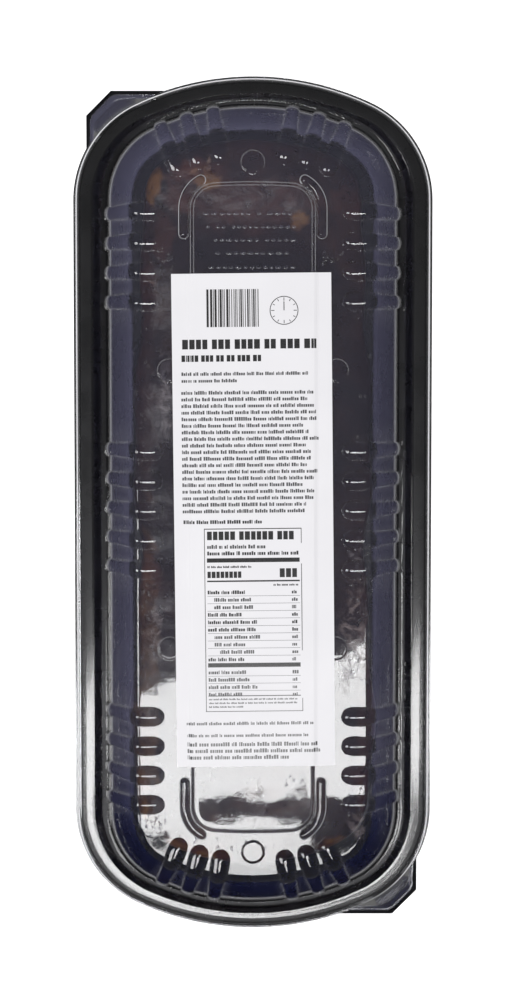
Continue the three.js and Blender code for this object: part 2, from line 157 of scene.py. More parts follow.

# Panel, lugs and dots on the flat; their steps are inset, rise and painted highlight
PANEL_HALF_WIDTH = 29.2
PANEL_HALF_LENGTH = 153.5
PANEL_CORNER_Y = 141
PANEL_CORNER_RADIUS = 12
PANEL_STEPS = [
    (-GUARD, 0, 0),
    (0, 0, 0.28),
    (0.35, 0.25, 0),
    (0.75, 0.75, 0),
    (1.15, 1.25, 0),
    (1.5, 1.5, 0.2),
    (1.9, 1.51, 0),
    (4, 1.51, 0),
]
LUG_CLEARANCE = 0.8
LUG_WIDTH = 4.6
LUG_FOOT_Y = 127
LUG_SWEEP_DEGREES = 62
LUG_STEPS = [
    (-GUARD, 0, 0),
    (0, 0, 0.7),
    (0.2, 0.8, 0.1),
    (0.5, 1.6, 0),
    (0.9, 2.15, 0),
    (1.4, 2.4, 0),
    (1.9, 2.5, 0),
]
# Painted highlight on a lug's inner side and foot end, against 1 on its outer side and top end
LUG_INNER_HIGHLIGHT = 0.15
LUG_FOOT_HIGHLIGHT = 0.5
DOT_RADIUS = 5.5
DOT_STEPS = [(-GUARD, 0, 0), (0, 0, 0.2), (0.3, 0.2, 0), (0.55, 0.45, 0), (0.9, 0.5, 0), (1.2, 0.5, 0)]
DOT_PLACES = [(0, 162.6), (0, -162.6), (39.3, 65.5), (-39.3, 65.5), (39.3, -65.5), (-39.3, -65.5)]

# Small raised dashes above the label: start, end and height up the panel
EMBOSSED_ROWS = [
    (-22.5, 18.5, 138.8),
    (-21, 21, 132.6),
    (-17.5, 18.5, 126.5),
    (-16.5, 16, 120.4),
    (-20, 20, 113.8),
]
DASH_HALF_WIDTH = 0.75
DASH_HALF_LENGTHS = [0.05, 0.2, 0.5]
DASH_GAPS = [2.5, 2.5, 2.9, 4.6]
DASH_LIFT = 0.12
# A dash's steps: inset, rise and painted highlight
DASH_STEPS = [(-0.1, 0, 0), (0, 0, 0.3), (0.2, 0.3, 0.05), (0.5, 0.4, 0)]

# Condensation and smears on the lid: middle, half sizes and count or brownness
DROPLET_GROUPS = [
    (-49, -62, 4, 26, 60),
    (50, -50, 5, 34, 50),
    (50, -138, 7, 8, 45),
    (-48, -150, 7, 6, 36),
    (20, -135, 5, 9, 22),
    (-17, -139, 3, 3, 8),
    (-40, 118, 4, 6, 14),
    (37, 118, 6, 3, 16),
    (-6, -160, 24, 4, 18),
    (-52, 20, 3, 70, 30),
    (52, 20, 3, 70, 24),
]
SMEARS = [
    (-41, 50, 5, 24, 0.0),
    (48, -57, 8, 30, 0.3),
    (49, -20, 4, 9, 0.0),
    (45, -75, 5, 13, 0.1),
    (-46, -60, 5, 16, 0.2),
    (-20.7, 161, 2, 5, 0.6),
    (-26, 158, 7, 3, 0.9),
    (-48, 106, 3, 6, 0.5),
    (50, -150, 6, 7, 0.2),
    (3, -142, 3, 12, 0.0),
]
PANEL_MARGIN = 2

# A droplet's rings as share of its size and rise, and a smear's as share of its size and cover
DROPLET_RINGS = [(1, 0), (0.8, 0.3), (0.4, 0.5), (0.05, 0.55)]
DROPLET_SIZES = (0.25, 0.8)
DROPLET_STRETCH = 1.2
DROPLET_LIFT = 0.1
DROPLET_HAZE = 0.1
# Painted highlight round each droplet's rim
DROPLET_HIGHLIGHT = 0.25
SMEAR_RINGS = [(1, 0), (0.7, 0.5), (0.4, 1), (0.1, 1)]
SMEAR_LIFT = 0.05
SMEAR_PANEL_LIFT = 0.5

# Finger tabs at two opposite corners
TAB_END_Y = 198.6
TAB_SIDE_X = 79.6
TAB_CHAMFER_SUM = 266.4
LID_TAB_INSET = 1.7

# A ring goes out with the tabs in full when it is nearer the outline than start - over
LID_TAB_START = 3.2
LID_TAB_OVER = 1.3
TRAY_TAB_START = 2.6
TRAY_TAB_OVER = 2.4

# Rings across the lid's turned edge and tabs, with a small bead along the tabs' outer edge
LIP_EDGE = 0.4
LIP_TO_BAND = 0.6
TAB_PLATE_Z = 35.6
TAB_RINGS = [0.06, 0.1, 0.14, 0.5, 0.8]
TAB_BEAD_AT = 0.1
TAB_BEAD = 0.35
TAB_BEAD_FADE = 6
TAB_HAZE = 0.7

# Label
LABEL_WIDTH = 74.8
LABEL_LENGTH = 232.4
LABEL_THICKNESS = 0.25
LABEL_CENTRE = (0.4, -5.2)
LABEL_TURN = math.radians(0.6)
LABEL_BASE_Z = FLAT_Z + PANEL_RISE + 0.4
LABEL_COLUMNS = 91
LABEL_ROWS = 61
LABEL_RIPPLE = 0.05

# The label's sides sink beside the panel: where from, over what width and how far
LABEL_FOLD_X = PANEL_HALF_WIDTH - 0.8
LABEL_FOLD = 2.4
LABEL_FALL = 0.9

# Print. A line is its left, right, middle height, letter height, word space and letters in a word
PRINT_LIFT = 0.03
PRINT_STEP = 0.8
LETTERS_IN_WORD = (2, 8)
LETTER_WIDTHS = [0.24, 0.42, 0.46, 0.5]
LETTER_TOPS = [0.5, 0.5, 0.25, 0.25, 0.25]
LETTER_GAP = 0.14
WORD_GAP = 0.8
HEADING_HEIGHT = 2
HEADING_WIDTHS = [0.52, 0.56, 0.6]
HEADINGS = [(-32.6, 31.6, 83.2, 4.5, 1.9, (2, 4)), (-33, 5.9, 76.6, 3.0, 1.2, (2, 4))]
SUBHEADINGS = [(-33.1, 26.3, 69.4, 1.6, 0.9), (-33.1, -5.9, 66.2, 1.6, 0.9)]
PARAGRAPH_LINES = 19
PARAGRAPH_TOP = 60.6
PARAGRAPH_PITCH = 3.09
PARAGRAPH_ENDS = (24, 32.5)
LAST_LINE = (-33, 4.1, -0.1, 1.7, 0.9, (4, 9))
FOOT_LINES = [
    (-32.7, 27.2, -95.5, 1.5, 0.9),
    (-32.4, 24.8, -101.2, 1.5, 0.9),
    (-32.4, 29, -105.4, 1.9, 1.0, (3, 9)),
    (-32.4, 31, -108.5, 1.9, 1.0, (3, 9)),
    (-32.4, 17, -111.6, 1.9, 1.0, (3, 9)),
]

# Upright bars: first place, last place and right edge; bottom and top; widths and gaps
BARS_X = (-21.0, 3.2, 3.3)
BARS_Y = (91.2, 108.8)
BAR_WIDTHS = [0.35, 0.35, 0.7, 1.0]
BAR_GAPS = [0.35, 0.35, 0.7]

# The printed table: its rules as corners, its heading lines, rows and small print
TABLE_RULES = [
    (-23.3, -3.6, 22.4, -3.2),
    (-23.5, -89.9, 22.2, -89.6),
    (-23.4, -89.9, -23.1, -3.2),
    (22.1, -89.9, 22.4, -3.2),
    (-22.2, -19.2, 21.4, -17.2),
    (-22.2, -28.4, 21.4, -27.7),
    (-22.2, -68.8, 21.4, -66.8),
    (-22.2, -82.6, 21.4, -82.2),
]
TABLE_LEFT = -22
TABLE_TOP_LINES = [
    (True, (-22, 20.8, -6.6, 4.0, 1.8, (4, 6))),
    (False, (-22, 6, -11.8, 1.8, 0.9)),
    (True, (-22, 21, -14.9, 1.8, 1.0)),
    (True, (-22, -1, -21.3, 1.0, 0.6)),
    (True, (-22, -4, -25, 3.0, 1.2, (7, 8))),
    (True, (12, 21, -24.3, 4.2, 1.0, (3, 3))),
    (True, (9, 21, -29.9, 1.0, 0.6)),
]
ROW_INSETS = [0, 3, 3, 0, 0, 0, 3, 3, 5.5, 0, 0, 0, 0, 0]
BOLD_ROWS = (0, 3, 4, 5, 9)
ROWS_WITHOUT_RULE = (9, 13)
UPPER_ROWS = 10
UPPER_ROWS_TOP = -33.3
UPPER_ROWS_PITCH = 3.53
LOWER_ROWS_TOP = -71.2
LOWER_ROWS_PITCH = 3.5
ROW_RULE = (-22.2, -1.85, 21.4, -1.7)
SMALL_LINES = [(-22, 20, -84.0, 0.8, 0.5), (-22, 20, -85.8, 0.8, 0.5), (-22, -5, -87.6, 0.8, 0.5)]

# Printed clock dial
DIAL_PLACE = (15.2, 98.7)
DIAL_RADIUS = 6.7
DIAL_LINE = 0.35
TICK_GAP = 0.7
LONG_TICK = 1.5
SHORT_TICK = 1.0
TICK_HALF_WIDTH = 0.16
HAND_HALF_WIDTH = 0.2
HAND_LENGTH = 0.62

# Rack of ribs
RACK_HALF_LENGTH = 177
RACK_HALF_WIDTH = 57
RACK_BASE_Z = 3.0
RACK_THICKNESS = 23.5
RACK_END_POWER = 14
RACK_TAPER = 0.03
RACK_SLICES = 230
RACK_COLUMNS = 160
RACK_TURN = 1.38
RACK_FULL_TURN = 1.39
BONE_COUNT = 13
BONE_SLANT = 0.12
BONE_SWELL = 1.6
RACK_UPPER = 0.6
RACK_LOWER = 0.4
WAVE_SIZES = 9
WAVES_OF_A_SIZE = 4
RACK_ROUGHNESS = 0.16
RACK_ROUGH_SIDES = 0.012

# Blobs of sauce on the rack: middle, half sizes and strength
RED_SAUCE = [
    (0, 146, 30, 12, 0.7),
    (-27, 160, 12, 6, 1.0),
    (-34, 148, 9, 7, 0.8),
    (-43, 130, 5, 12, 0.6),
    (45, 146, 9, 7, 0.6),
    (-51, 107, 5, 9, 0.5),
    (-50, -33, 6, 10, 0.9),
    (-52, 60, 4, 70, 0.2),
    (56, -110, 5, 62, 0.6),
    (-37, -168, 11, 5, 0.9),
    (40, -168, 10, 5, 0.5),
    (-20, -171, 10, 5, 0.8),
]
ORANGE_SAUCE = [
    (-48, 156, 4, 7, 1.2),
    (-22, 156, 6, 4, 0.8),
    (22.5, 138.5, 4, 3.5, 1.0),
    (-51, -90, 5, 72, 0.35),
    (-55, -146, 4, 22, 0.6),
    (-38, -169, 7, 4, 0.6),
    (41, -168, 7, 4, 0.6),
    (-24, -173, 5, 4, 0.5),
]

# Camera, worked out from the photo
CAMERA_PLACE = (1.24, 72.2, RIM_TOP + 1110)
CAMERA_TILT_DEGREES = -3.54
CAMERA_LENS = 83.59
CAMERA_FILM = 36
CAMERA_CLIP = 0.05

# Floor, in metres
FLOOR_HALF = 6.0
FLOOR_DROP = 0.0002

# Light
SOFTBOX_RADIANCE = 8.5
ROOM_GLOW = 0.78
ROOM_REFLECTION = 0.12
FLOOR_GLOW = 0.8

# Softboxes in metres: name, place, width, depth, turn in degrees and share of the full radiance
SOFTBOX_Z = 1.81
SOFTBOXES = [
    ("near_softbox", (0, -0.391), 0.5, 0.156, 8.5, 1),
    ("near_right_wing", (0.13, -0.43), 0.12, 0.08, 0, 1),
    ("near_left_wing", (-0.16, -0.475), 0.18, 0.11, 5, 1),
    ("middle_softbox", (-0.02, -0.527), 0.16, 0.04, 0, 1),
    ("far_softbox", (0, -0.582), 0.37, 0.08, 0, 0.8),
    ("left_softbox", (-1.05, -0.37), 0.9, 0.5, 0, 0.7),
]

# Colours
HAZE_TINT = (0.285, 0.28, 0.44, 1)
NEAR_HAZE_TINT = (0.10, 0.12, 0.42, 1)
CLEAR_TINT = (0.93, 0.93, 0.95, 1)
# White for the lid's painted highlights
PAINTED_HIGHLIGHT_WHITE = (0.9, 0.9, 0.93, 1)
PALE_RESIDUE = (0.42, 0.38, 0.42, 1)
BROWN_RESIDUE = (0.3, 0.15, 0.09, 1)
TRAY_BLACK = [(0.3, (0.004, 0.004, 0.006)), (0.7, (0.007, 0.007, 0.010))]
PAPER_WHITE = [(0.3, (0.84, 0.83, 0.86)), (0.7, (0.88, 0.87, 0.9))]
INK = (0.01, 0.01, 0.012)
GREY_INK = (0.06, 0.06, 0.065)
MEAT = [
    (0.32, (0.004, 0.002, 0.002)),
    (0.5, (0.022, 0.006, 0.006)),
    (0.6, (0.042, 0.012, 0.008)),
    (0.72, (0.08, 0.028, 0.012)),
]
SAUCES = [("red", (0.09, 0.022, 0.014, 1)), ("orange", (0.24, 0.11, 0.03, 1))]
FLOOR_WHITE = (0.85, 0.85, 0.86, 1)
WHITE = (1, 1, 1, 1)

END_CENTRE_Y = RIM_HALF_LENGTH - END_RADIUS
CORNER_CENTRE_X = RIM_HALF_WIDTH - CORNER_RADIUS
CORNER_RISE = math.sqrt((END_RADIUS - CORNER_RADIUS) ** 2 - CORNER_CENTRE_X**2)
CORNER_CENTRE_Y = END_CENTRE_Y + CORNER_RISE
CORNER_TURN = math.atan2(CORNER_RISE, CORNER_CENTRE_X)
SIDE_RUN = CORNER_CENTRE_Y
CORNER_RUN = CORNER_RADIUS * CORNER_TURN
QUARTER_RUN = SIDE_RUN + CORNER_RUN + END_RADIUS * (math.pi / 2 - CORNER_TURN)
LAP = 4 * QUARTER_RUN


# Outline


def full_turn(count):
    return np.linspace(0, 2 * math.pi, count, endpoint=False)


def stations(runs):
    """Places on the rim's outline with their outward ways, counted from the middle of the +X side."""
    runs = np.asarray(runs, float) % LAP
    quarter = np.floor(runs / QUARTER_RUN).astype(int)
    within = runs - quarter * QUARTER_RUN
    along = np.where(quarter % 2 == 1, QUARTER_RUN - within, within)
    on_side = along <= SIDE_RUN
    on_corner = along <= SIDE_RUN + CORNER_RUN
    corner_turn = (along - SIDE_RUN) / CORNER_RADIUS
    end_turn = CORNER_TURN + (along - SIDE_RUN - CORNER_RUN) / END_RADIUS
    turn = np.where(on_side, 0, np.where(on_corner, corner_turn, end_turn))
    radius = np.where(on_corner, CORNER_RADIUS, END_RADIUS)
    nx, ny = np.cos(turn), np.sin(turn)
    x = np.where(on_corner, CORNER_CENTRE_X, 0) + radius * nx
    y = np.where(on_corner, CORNER_CENTRE_Y, END_CENTRE_Y) + radius * ny
    y = np.where(on_side, along, y)
    sx = np.where((quarter == 1) | (quarter == 2), -1, 1)
    sy = np.where(quarter >= 2, -1, 1)
    return np.stack([x * sx, y * sy, nx * sx, ny * sy], 1)


def points_at(places, inward):
    """Points at a distance in from the outline."""
    shift = inward - np.interp(inward, TRIM_AT, TRIM_BY) * places[:, 3] ** 2
    return places[:, :2] - places[:, 2:] * shift[:, None]


def tab_reach(places, inset):
    """How far a finger tab reaches beyond the outline at each place."""
    x, y, nx, ny = np.abs(places).T
    to_end = TAB_END_Y - inset - y
    to_side = TAB_SIDE_X - inset - x
    to_chamfer = TAB_CHAMFER_SUM - inset * math.sqrt(2) - x - y
    reach = np.minimum(to_end / np.maximum(ny, TINY), to_side / np.maximum(nx, TINY))
    reach = np.minimum(reach, to_chamfer / (nx + ny))
    return np.where(places[:, 0] * places[:, 1] < 0, np.maximum(reach, 0), 0)


def corner_arc(corner, radius, back, ahead, most):
    """Points of the arc that rounds a corner between two ways, or the corner itself."""
    half = math.acos(np.clip(back @ ahead, -1, 1)) / 2
    if radius == 0 or half > math.pi / 2 - 0.01:
        return [corner]
    tangent = min(radius / math.tan(half), most)
    bisector = (back + ahead) / np.linalg.norm(back + ahead)
    centre = corner + bisector * tangent * math.tan(half) / math.sin(half)
    start = corner + back * tangent - centre
    end = corner + ahead * tangent - centre
    sweep = math.pi - 2 * half
    steps = max(2, math.ceil(sweep / CORNER_STEP))
    arc = []
    for k in range(steps + 1):
        t = k / steps
        way = (math.sin((1 - t) * sweep) * start + math.sin(t * sweep) * end) / math.sin(sweep)
        arc.append(centre + way)
    return arc


def rounded(section, step=SECTION_STEP):
    """A smooth section through corner points: distance in, height, and the way out of the surface."""
    points = [np.array(p[:2], float) for p in section]
    path = [points[0]]
    for i in range(1, len(points) - 1):
        back = points[i - 1] - points[i]
        ahead = points[i + 1] - points[i]
        back_length, ahead_length = np.linalg.norm(back), np.linalg.norm(ahead)
        most = LARGEST_CORNER * min(back_length, ahead_length)
        path += corner_arc(points[i], section[i][2], back / back_length, ahead / ahead_length, most)
    path.append(points[-1])
    fine = [path[0]]
    for a, b in zip(path, path[1:]):
        parts = max(1, math.ceil(np.linalg.norm(b - a) / step))
        fine += [a + (b - a) * k / parts for k in range(1, parts + 1)]
    fine = np.array(fine)
    tangents = np.gradient(fine, axis=0)
    tangents /= np.maximum(np.linalg.norm(tangents, axis=1, keepdims=True), TINY)
    return fine, np.stack([tangents[:, 1], tangents[:, 0]], 1)


# Meshes


class Build:
    """Collects points, faces and two numbers for each point."""

    def __init__(self):
        self.points = []
        self.faces = []
        self.marks = []
        self.count = 0

    def loop(self, xy, z, mark=0.0, edge=0.0):
        """Adds a row of points and returns their numbers."""
        z = np.broadcast_to(z, len(xy))
        self.points.append(np.column_stack([xy, z]))
        marks = [np.broadcast_to(value, len(xy)) for value in (mark, edge)]
        self.marks.append(np.stack(marks, 1).astype(float))
        start = self.count
        self.count += len(xy)
        return np.arange(start, self.count)

    def strip(self, outer, inner, flip=False):
        """Faces between two closed rows of points."""
        quads = np.stack([outer, np.roll(outer, -1), np.roll(inner, -1), inner], 1)
        self.faces += (quads[:, ::-1] if flip else quads).tolist()

    def strips(self, loops, flip=False):
        for outer, inner in zip(loops, loops[1:]):
            self.strip(outer, inner, flip)

    def fill(self, outer, holes=(), flip=False):
        """Triangles on the flat area inside one loop and outside the others."""
        points = np.concatenate(self.points)
        loops = [outer, *holes]
        order = np.concatenate(loops)
        flat = [tuple(p) for p in points[order, :2]]
        edges = []
        start = 0
        for loop in loops:
            n = len(loop)
            edges += [(start + i, start + (i + 1) % n) for i in range(n)]
            start += n
        verts, _, tris, origins, _, _ = geometry.delaunay_2d_cdt(flat, edges, [], 0, WELD)
        verts = np.array([tuple(v) for v in verts])
        tris = np.array(tris)
        centres = verts[tris].mean(1)
        keep = inside(centres, points[outer, :2])
        for hole in holes:
            keep &= ~inside(centres, points[hole, :2])
        index = np.array([order[o[0]] for o in origins])
        tris = index[tris[keep]]
        self.faces += (tris[:, ::-1] if flip else tris).tolist()

    def piece(self, name, material, mark_names=()):
        """Makes the scene's object, with the points' numbers under the names given."""
        points = np.concatenate(self.points) * MM
        mesh = bpy.data.meshes.new(name)
        mesh.from_pydata(points.tolist(), [], self.faces)
        for column, mark_name in enumerate(mark_names):
            marks = mesh.attributes.new(mark_name, "FLOAT", "POINT")
            marks.data.foreach_set("value", np.concatenate(self.marks)[:, column])
        mesh.polygons.foreach_set("use_smooth", [True] * len(mesh.polygons))
        mesh.materials.append(material)
        mesh.update()
        return placed(name, mesh)


def placed(name, data):
    """A new object in the scene."""
    made = bpy.data.objects.new(name, data)
    bpy.context.scene.collection.objects.link(made)
    return made


def inside(points, loop):
    """True for each point that lies inside a closed loop."""
    result = np.zeros(len(points), bool)
    x, y = points[:, 0], points[:, 1]
    for (ax, ay), (bx, by) in zip(loop, np.roll(loop, -1, 0)):
        if ay == by:
            continue
        crosses = (ay > y) != (by > y)
        result ^= crosses & (x < (bx - ax) * (y - ay) / (by - ay) + ax)
    return result


# Lid


def flute_runs():
    """Places of all the flutes along the outline."""
    numbers = MIDDLE_FLUTES + OUTER_FLUTES + [-n for n in OUTER_FLUTES]
    runs = [(n * FLUTE_PITCH) % LAP for n in numbers]
    runs += [2 * QUARTER_RUN + n * FLUTE_PITCH for n in numbers]
    for degrees in END_FLUTE_DEGREES:
        along = END_RADIUS * math.radians(degrees)
        for end in (QUARTER_RUN, 3 * QUARTER_RUN):
            runs += [end - along, end + along]
    return sorted(runs)


def tab_runs():
    """Runs at which the rim needs a column so that the tabs keep their corners."""
    side_x = TAB_SIDE_X - CORNER_CENTRE_X
    angles = [
        math.acos(side_x / CORNER_RADIUS),
        math.atan2(TAB_CHAMFER_SUM - TAB_SIDE_X - CORNER_CENTRE_Y, side_x),
        math.atan2(TAB_END_Y - CORNER_CENTRE_Y, TAB_CHAMFER_SUM - TAB_END_Y - CORNER_CENTRE_X),
    ]
    first = [SIDE_RUN + CORNER_RADIUS * a for a in angles]
    first.append(QUARTER_RUN - END_RADIUS * math.acos((TAB_END_Y - END_CENTRE_Y) / END_RADIUS))
    return [2 * QUARTER_RUN - r for r in first] + [4 * QUARTER_RUN - r for r in first]


def plain_runs(start, end):
    """Runs between two places, close together where the outline turns."""
    span = end - start
    middle = abs(((start + end) / 2) % (2 * QUARTER_RUN) - QUARTER_RUN)
    turning = middle < QUARTER_RUN - SIDE_RUN + span / 2
    parts = max(2, math.ceil(span / (TURN_STEP if turning else SIDE_STEP)))
    return [start + span * k / parts for k in range(1, parts)]


def lid_columns():
    """Columns of the lid: run, flute's run, share across, distance in of its end, 1 on a flute."""
    rows = []
    runs = flute_runs()
    shares = [-a for a in FLUTE_COLUMNS[:0:-1]] + FLUTE_COLUMNS
    for i, run in enumerate(runs):
        for share in shares:
            bow = math.sqrt(1 - min(share**2, 1))
            end = FLUTE_END - FLUTE_HALF_HEAD * (1 - bow)
            rows.append((run + share * FLUTE_HALF_FOOT, run, share, end, 1))
        ahead = runs[i + 1] if i + 1 < len(runs) else runs[0] + LAP
        free = ahead - run
        if free < 2 * FLUTE_PITCH:
            rows.append(((run + ahead) / 2, (run + ahead) / 2, 0, FLUTE_END - FLUTE_HALF_HEAD, 0))
            continue
        for at in plain_runs(run + FLUTE_PITCH / 2, ahead - FLUTE_PITCH / 2):
            rows.append((at, at, 0, PLAIN_END, 0))
    return np.array(rows)


def half_width(inward):
    """Half the width of a flute at a distance in from the outline."""
    return np.interp(inward, [FLUTE_START, FLAT_EDGE], [FLUTE_HALF_FOOT, FLUTE_HALF_HEAD])


def flute_height(share, fluted, inward):
    """How far a flute stands out of the lid's plain surface."""
    half = half_width(inward)
    beyond = np.maximum(inward - (FLUTE_END - half), 0) / half
    aside = np.clip(share**2 + beyond**2, 0, 1)
    rise = np.interp(inward, [FLUTE_START, FLAT_EDGE], [FLUTE_FOOT_RISE, FLUTE_RISE])
    return fluted * rise * np.sqrt(1 - aside)


def lid_ring(columns, inward, z, out, up):
    """One ring of the dome with its flutes."""
    places = stations(columns[:, 1])
    inward = np.broadcast_to(inward, len(columns)).astype(float)
    rise = flute_height(columns[:, 2], columns[:, 4], inward)
    xy = points_at(places, inward - rise * out)
    aside = columns[:, 2] * half_width(inward)
    xy[:, 0] -= places[:, 3] * aside
    xy[:, 1] += places[:, 2] * aside
    return xy, z + rise * up


def mirrored(quarter):
    """A closed outline from its quarter in +X and +Y."""
    half = quarter + [(-x, y) for x, y in quarter[-2::-1]]
    return np.array(half + [(x, -y) for x, y in half[-2:0:-1]])


def panel_loop(inset):
    """Outline of the raised panel: straight sides, round corners and slightly arched ends."""
    radius = PANEL_CORNER_RADIUS - inset
    corner_x = PANEL_HALF_WIDTH - PANEL_CORNER_RADIUS
    arch = PANEL_HALF_LENGTH - PANEL_CORNER_Y - PANEL_CORNER_RADIUS
    parts = 12
    quarter = [(PANEL_HALF_WIDTH - inset, PANEL_CORNER_Y * k / parts) for k in range(parts)]
    for k in range(parts + 1):
        turn = k / parts * math.pi / 2
        quarter.append((corner_x + radius * math.cos(turn), PANEL_CORNER_Y + radius * math.sin(turn)))
    arch_parts = 8
    for k in range(1, arch_parts + 1):
        t = k / arch_parts
        quarter.append((corner_x * (1 - t), PANEL_CORNER_Y + radius + arch * (1 - (1 - t) ** 2)))
    return mirrored(quarter), 1.0


def lug_loop(sx, sy, inset):
    """Outline of one lug: a straight leg beside the panel, a curve round its corner and round ends."""
    middle = PANEL_CORNER_RADIUS + LUG_CLEARANCE + LUG_WIDTH / 2
    half = LUG_WIDTH / 2 - inset
    centre_x = PANEL_HALF_WIDTH - PANEL_CORNER_RADIUS
    sweep = math.radians(LUG_SWEEP_DEGREES)
    foot = LUG_FOOT_Y + LUG_WIDTH / 2
    spine = [(centre_x + middle, foot + (PANEL_CORNER_Y - foot) * k / 4, 0.0) for k in range(4)]
    for k in range(11):
        turn = sweep * k / 10
        spine.append((centre_x + middle * math.cos(turn), PANEL_CORNER_Y + middle * math.sin(turn), turn))
    outside = [(x + half * math.cos(t), y + half * math.sin(t)) for x, y, t in spine]
    inner = [(x - half * math.cos(t), y - half * math.sin(t)) for x, y, t in reversed(spine)]

    def cap(x, y, start):
        turns = [start + math.pi * k / 8 for k in range(1, 8)]
        return [(x + half * math.cos(t), y + half * math.sin(t)) for t in turns]

    top = cap(spine[-1][0], spine[-1][1], sweep)
    bottom = cap(spine[0][0], spine[0][1], math.pi)
    loop = np.array(outside + top + inner + bottom) * (sx, sy)
    # Painted highlight, brightest on the outer side and the top end
    parts = ((outside, 1.0), (top, 1.0), (inner, LUG_INNER_HIGHLIGHT), (bottom, LUG_FOOT_HIGHLIGHT))
    glow = np.concatenate([np.full(len(part), value) for part, value in parts])
    return (loop, glow) if sx * sy > 0 else (loop[::-1], glow[::-1])


def dot_loop(place, inset):
    """Outline of one round dot, with a painted highlight on its far side."""
    turns = full_turn(40)
    radius = DOT_RADIUS - inset
    loop = np.stack([place[0] + radius * np.cos(turns), place[1] + radius * np.sin(turns)], 1)
    return loop, np.clip(1.2 + 2 * np.sin(turns), 0, 1)


def raised(build, outlines, steps, level):
    """A raised shape on the flat, from its outline and painted highlight for each inset; returns its foot
    loop.
    """
    loops = []
    for inset, rise, edge in steps:
        outline, glow = outlines(inset)
        loops.append(build.loop(outline, level + rise, FLAT_HAZE, edge * glow))
    build.strips(loops)
    build.fill(loops[-1])
    return loops[0]


def lid_rim(build, columns):
    """The lid's turned lip, finger tabs, rim band and plug; returns the plug's last ring."""
    places = stations(columns[:, 0])
    reach = tab_reach(places, LID_TAB_INSET)
    loops = []
    for inward, z in rounded(LID_LIP)[0]:
        share = np.clip((LID_TAB_START - inward) / LID_TAB_OVER, 0, 1)
        loops.append(build.loop(points_at(places, inward - reach * share), z))
    bead = TAB_BEAD * np.clip(reach / TAB_BEAD_FADE, 0, 1)
    haze = TAB_HAZE * (reach > 0.01)
    for t in TAB_RINGS:
        inward = LIP_EDGE + LIP_TO_BAND * t - reach * (1 - t)
        height = TAB_PLATE_Z + bead * (t == TAB_BEAD_AT)
        loops.append(build.loop(points_at(places, inward), height, haze))
    # Painted highlight round the skirt, weaker at the near end, carried in the edge mark
    fade = np.interp(places[:, 1], *SKIRT_HIGHLIGHT_BY_Y)
    for inward, z in rounded(LID_RIM)[0]:
        skirt = np.interp(z, *SKIRT_HIGHLIGHT_BY_HEIGHT) * np.interp(inward, *SKIRT_HIGHLIGHT_BY_INWARD)
        loops.append(build.loop(points_at(places, inward), z, 0.0, skirt * fade))
    build.strips(loops)
    return loops[-1]


def lid_wall(build, columns):
    """Rings of the ledge, of the fluted wall and of the flutes' ends on the flat."""
    path, ways = rounded([LID_RIM[-1], *LID_WALL, (FLAT_EDGE, FLAT_Z, 0)], LID_WALL_STEP)
    # Painted highlight along the creases beside each flute
    crease_highlight = CREASE_HIGHLIGHT * columns[:, 4] * np.interp(np.abs(columns[:, 2]), *CREASE_HIGHLIGHT_BY_SHARE)
    loops = []
    for (inward, z), (out, up) in zip(path[1:], ways[1:]):
        rise = z - LEDGE_Z
        climb = np.clip(rise, 0, 1)
        foot = np.clip((inward - FOOT_FADE_FROM) / FOOT_FADE, 0, 1)
        xy, height = lid_ring(columns, inward, z, climb * out + (1 - climb) * foot, climb * up)
        # Painted highlight along the wall's foot, added to the creases' painted highlights
        foot_highlight = BASE_HIGHLIGHT * math.exp(-(((inward - BASE_HIGHLIGHT_AT) / BASE_HIGHLIGHT_WIDTH) ** 2))
        glow = foot_highlight + crease_highlight * np.interp(rise, *CREASE_HIGHLIGHT_BY_RISE)
        loops.append(build.loop(xy, height, np.interp(rise, *HAZE_BY_RISE), glow))
    for t in FLUTE_RINGS:
        inward = FLAT_EDGE + (columns[:, 3] - FLAT_EDGE) * t
        xy, height = lid_ring(columns, inward, FLAT_Z, 0, 1)
        # Painted highlight round each flute's end on the flat
        end = CREASE_HIGHLIGHT * columns[:, 4] * (t == 1)
        loops.append(build.loop(xy, height, FLAT_HAZE, CREASE_HIGHLIGHT_ON_FLAT * np.maximum(crease_highlight, end)))
    xy, height = lid_ring(columns, columns[:, 3] + GUARD, FLAT_Z, 0, 1)
    loops.append(build.loop(xy, height, FLAT_HAZE))
    return loops


def lid(material):
    """The lid as one skin, with its panel, lugs and dots let into the flat."""
    build = Build()
    columns = lid_columns()
    loops = [lid_rim(build, columns)]
    loops += lid_wall(build, columns)
    build.strips(loops)
    holes = [raised(build, panel_loop, PANEL_STEPS, FLAT_Z)]
    for sx, sy in ((1, 1), (-1, 1), (-1, -1), (1, -1)):
        holes.append(raised(build, partial(lug_loop, sx, sy), LUG_STEPS, FLAT_Z))
    for place in DOT_PLACES:
        holes.append(raised(build, partial(dot_loop, place), DOT_STEPS, FLAT_Z))
    build.fill(loops[-1], holes)
    return build.piece("clear_lid", material, ("haze", "edge"))


def dash_loop(place, half_length, inset):
    """Outline of a small raised dash with round ends, and its painted highlight, strongest on its near
    side.
    """
    turns = full_turn(12)
    half = DASH_HALF_WIDTH - inset
    x = place[0] + half * np.cos(turns) + half_length * np.sign(np.round(np.cos(turns), 6))
    return np.stack([x, place[1] + half * np.sin(turns)], 1), np.clip(0.3 - np.sin(turns), 0, 1)


def embossed_marks(material):
    """Rows of small plain dashes raised on the panel above the label."""
    build = Build()
    rng = random.Random(5)
    for start, end, y in EMBOSSED_ROWS:
        x = start
        while x < end:
            half_length = rng.choice(DASH_HALF_LENGTHS)
            outlines = partial(dash_loop, (x + half_length, y), half_length)
            raised(build, outlines, DASH_STEPS, FLAT_Z + PANEL_RISE + DASH_LIFT)
            x += 2 * half_length + rng.choice(DASH_GAPS)
    return build.piece("embossed_marks", material, ("haze", "edge"))


def on_panel(x):
    return abs(x) < PANEL_HALF_WIDTH - PANEL_MARGIN


